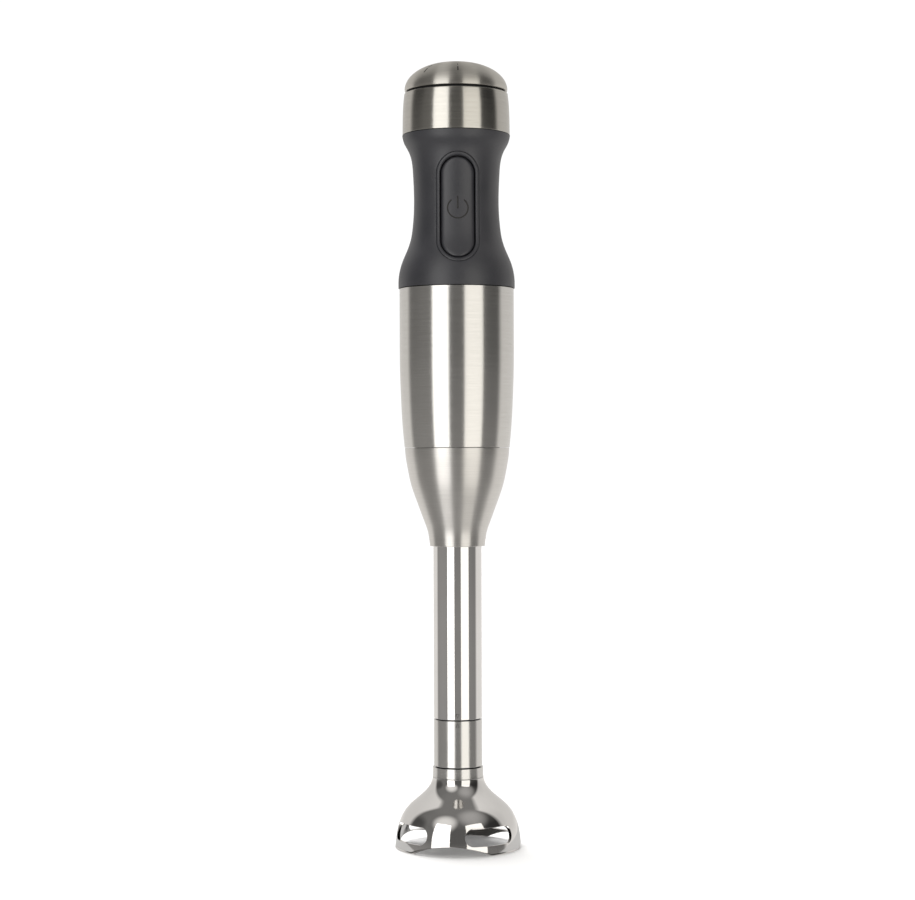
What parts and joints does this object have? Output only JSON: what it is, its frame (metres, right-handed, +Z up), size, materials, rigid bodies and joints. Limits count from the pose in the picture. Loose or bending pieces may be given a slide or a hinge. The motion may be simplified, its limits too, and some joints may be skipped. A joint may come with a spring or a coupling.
{
  "type": "immersion blender",
  "caption": "Handheld stick blender: domed speed dial, waisted grip with power button, steel motor body, and a detachable arm and slotted bell with an S-shaped blade.",
  "frame": {"origin": "on the axis, in the plane of the bell's feet", "axes": "+Z up along the axis from the bell to the dial; the power button faces -Y"},
  "size_m": [0.0661, 0.0659, 0.4135],
  "materials": {
    "brushed_steel": "brushed round the axis",
    "satin_steel": "satin",
    "polished_steel": "polished",
    "soft_grip": "soft-touch",
    "black_plastic": "moulded",
    "rubber": "matte",
    "lamination": "stacked sheet",
    "copper": "enamelled copper",
    "brass": "machined",
    "carbon": "pressed carbon",
    "circuit_board": "solder mask",
    "component": "dipped",
    "steel": "ground",
    "aluminium": "die-cast"
  },
  "bodies": {
    "handle": {"collar_band": "brushed_steel", "top_frame": "black_plastic", "cord_gland": "rubber", "potentiometer": "component", "grip_cover": "soft_grip", "handle_frame_front": "black_plastic", "handle_frame_rear": "black_plastic", "frame_screw_1": "steel", "frame_screw_2": "steel", "switch_body": "black_plastic", "button_spring": "steel", "control_board": "circuit_board", "filter_capacitor": "component", "heat_sink": "aluminium", "motor_sleeve": "brushed_steel", "motor_liner": "black_plastic", "lower_motor_bracket": "aluminium", "upper_motor_bracket": "aluminium", "lower_bearing": "steel", "upper_bearing": "steel", "motor_damper": "rubber", "stator_core": "lamination", "field_coil_right": "copper", "field_coil_left": "copper", "brush_holder_right": "brass", "brush_holder_left": "brass", "carbon_brush_right": "carbon", "carbon_brush_left": "carbon", "handle_base": "black_plastic", "coupling_seal": "rubber"},
    "dial": {"dial_cap": "brushed_steel", "dial_hub": "black_plastic", "dial_shaft": "steel"},
    "button": {"power_button": "soft_grip", "button_carrier": "black_plastic"},
    "plunger": {"switch_plunger": "black_plastic"},
    "rotor": {"motor_shaft": "steel", "armature_core": "lamination", "armature_windings": "copper", "commutator": "copper", "cooling_fan": "black_plastic", "motor_drive_dog": "steel"},
    "arm_lock": {"arm_lock_ring": "steel"},
    "arm": {"arm_funnel": "satin_steel", "arm_tube": "polished_steel", "arm_adapter": "black_plastic", "upper_shaft_bushing": "brass", "lower_shaft_bushing": "brass"},
    "arm_shaft": {"arm_drive_shaft": "steel", "arm_drive_dog": "steel"},
    "bell_lock": {"bell_lock_ring": "steel"},
    "bell": {"bell_guard": "polished_steel", "bell_neck": "polished_steel", "bell_spigot": "black_plastic", "blade_bearing_block": "black_plastic", "blade_bushing": "brass", "blade_seal": "rubber"},
    "cutter": {"blade_shaft": "steel", "blade": "polished_steel", "blade_nut": "steel"}
  },
  "joints": [
    {"name": "dial_turn", "type": "hinge", "parent": "handle", "child": "dial", "pos_m": [0, 0, 0.4], "axis": [0, 0, 1], "range_deg": [0, 180]},
    {"name": "button_press", "type": "slide", "parent": "handle", "child": "button", "axis": [0, 1, 0], "range_m": [0, 0.0015], "stiffness_N_per_m": 900, "springref_m": -0.001, "deforming": ["button_spring"]},
    {"name": "plunger_press", "type": "slide", "parent": "handle", "child": "plunger", "axis": [0, 1, 0], "range_m": [0, 0.0015]},
    {"name": "motor_spin", "type": "hinge", "parent": "handle", "child": "rotor", "pos_m": [0, 0, 0.25], "axis": [0, 0, 1], "continuous": true},
    {"name": "arm_twist", "type": "hinge", "parent": "handle", "child": "arm_lock", "pos_m": [0, 0, 0.194], "axis": [0, 0, 1], "range_deg": [0, 30]},
    {"name": "arm_pull", "type": "slide", "parent": "arm_lock", "child": "arm", "axis": [0, 0, -1], "range_m": [0, 0.03]},
    {"name": "arm_shaft_spin", "type": "hinge", "parent": "arm", "child": "arm_shaft", "pos_m": [0, 0, 0.13], "axis": [0, 0, 1], "continuous": true},
    {"name": "bell_twist", "type": "hinge", "parent": "arm", "child": "bell_lock", "pos_m": [0, 0, 0.08], "axis": [0, 0, 1], "range_deg": [0, 30]},
    {"name": "bell_pull", "type": "slide", "parent": "bell_lock", "child": "bell", "axis": [0, 0, -1], "range_m": [0, 0.03]},
    {"name": "blade_spin", "type": "hinge", "parent": "bell", "child": "cutter", "pos_m": [0, 0, 0.03], "axis": [0, 0, 1], "continuous": true}
  ],
  "couplings": [
    {"joint": "plunger_press", "follows": "button_press", "ratio": 1},
    {"joint": "arm_shaft_spin", "follows": "motor_spin", "ratio": 1},
    {"joint": "blade_spin", "follows": "motor_spin", "ratio": 1}
  ]
}
